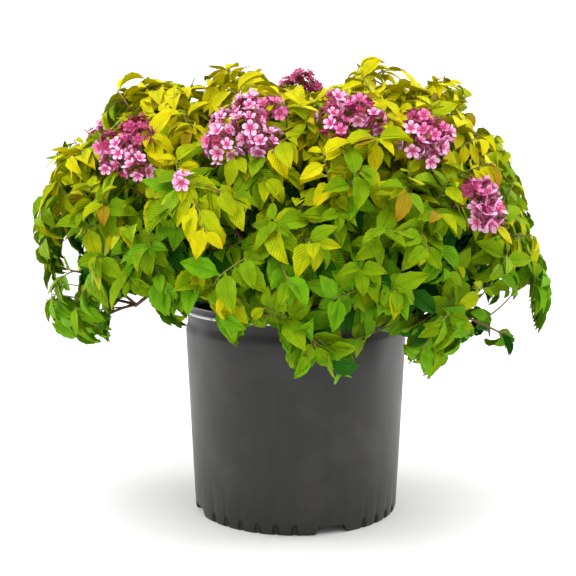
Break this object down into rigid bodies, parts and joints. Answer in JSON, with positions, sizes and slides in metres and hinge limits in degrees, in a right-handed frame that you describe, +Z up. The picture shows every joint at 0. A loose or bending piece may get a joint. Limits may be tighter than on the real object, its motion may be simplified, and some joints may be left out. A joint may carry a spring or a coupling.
{
  "type": "potted golden-leaved spirea shrub in bloom",
  "caption": "Round golden-leaved spirea with flat pink flower heads, standing in a round grey plastic nursery pot.",
  "frame": {"origin": "on the ground, under the middle of the pot's foot", "axes": "+Z up; -Y is the plant's front, with +X to the right of someone who looks at it"},
  "size_m": [0.5727, 0.5794, 0.4878],
  "materials": {
    "pot_plastic": "satin",
    "potting_mix": "matte",
    "bark": "matte",
    "foliage_gold": "satin",
    "foliage_lime": "satin",
    "foliage_green": "satin"
  },
  "bodies": {
    "root": {"bough_shoulder_1": "bark", "bough_shoulder_2": "bark", "bough_shoulder_3": "bark", "bough_shoulder_4": "bark", "bough_shoulder_5": "bark", "bough_shoulder_6": "bark", "bough_shoulder_7": "bark", "bough_skirt_1": "bark", "bough_skirt_2": "bark", "bough_skirt_3": "bark", "bough_skirt_4": "bark", "bough_skirt_5": "bark", "bough_skirt_6": "bark", "bough_skirt_7": "bark", "bough_top_1": "bark", "bough_upper_1": "bark", "bough_upper_2": "bark", "bough_upper_3": "bark", "bough_upper_4": "bark", "bough_upper_5": "bark", "bough_upper_6": "bark", "foliage_shoulder_1": "foliage_lime", "foliage_shoulder_2": "foliage_lime", "foliage_shoulder_3": "foliage_lime", "foliage_shoulder_4": "foliage_lime", "foliage_shoulder_5": "foliage_lime", "foliage_shoulder_6": "foliage_lime", "foliage_shoulder_7": "foliage_lime", "foliage_skirt_1": "foliage_green", "foliage_skirt_2": "foliage_green", "foliage_skirt_3": "foliage_green", "foliage_skirt_4": "foliage_green", "foliage_skirt_5": "foliage_green", "foliage_skirt_6": "foliage_green", "foliage_skirt_7": "foliage_green", "foliage_top_1": "foliage_gold", "foliage_upper_1": "foliage_gold", "foliage_upper_2": "foliage_gold", "foliage_upper_3": "foliage_gold", "foliage_upper_4": "foliage_gold", "foliage_upper_5": "foliage_gold", "foliage_upper_6": "foliage_gold", "pot": "pot_plastic", "soil": "potting_mix", "stool": "bark"}
  },
  "joints": []
}
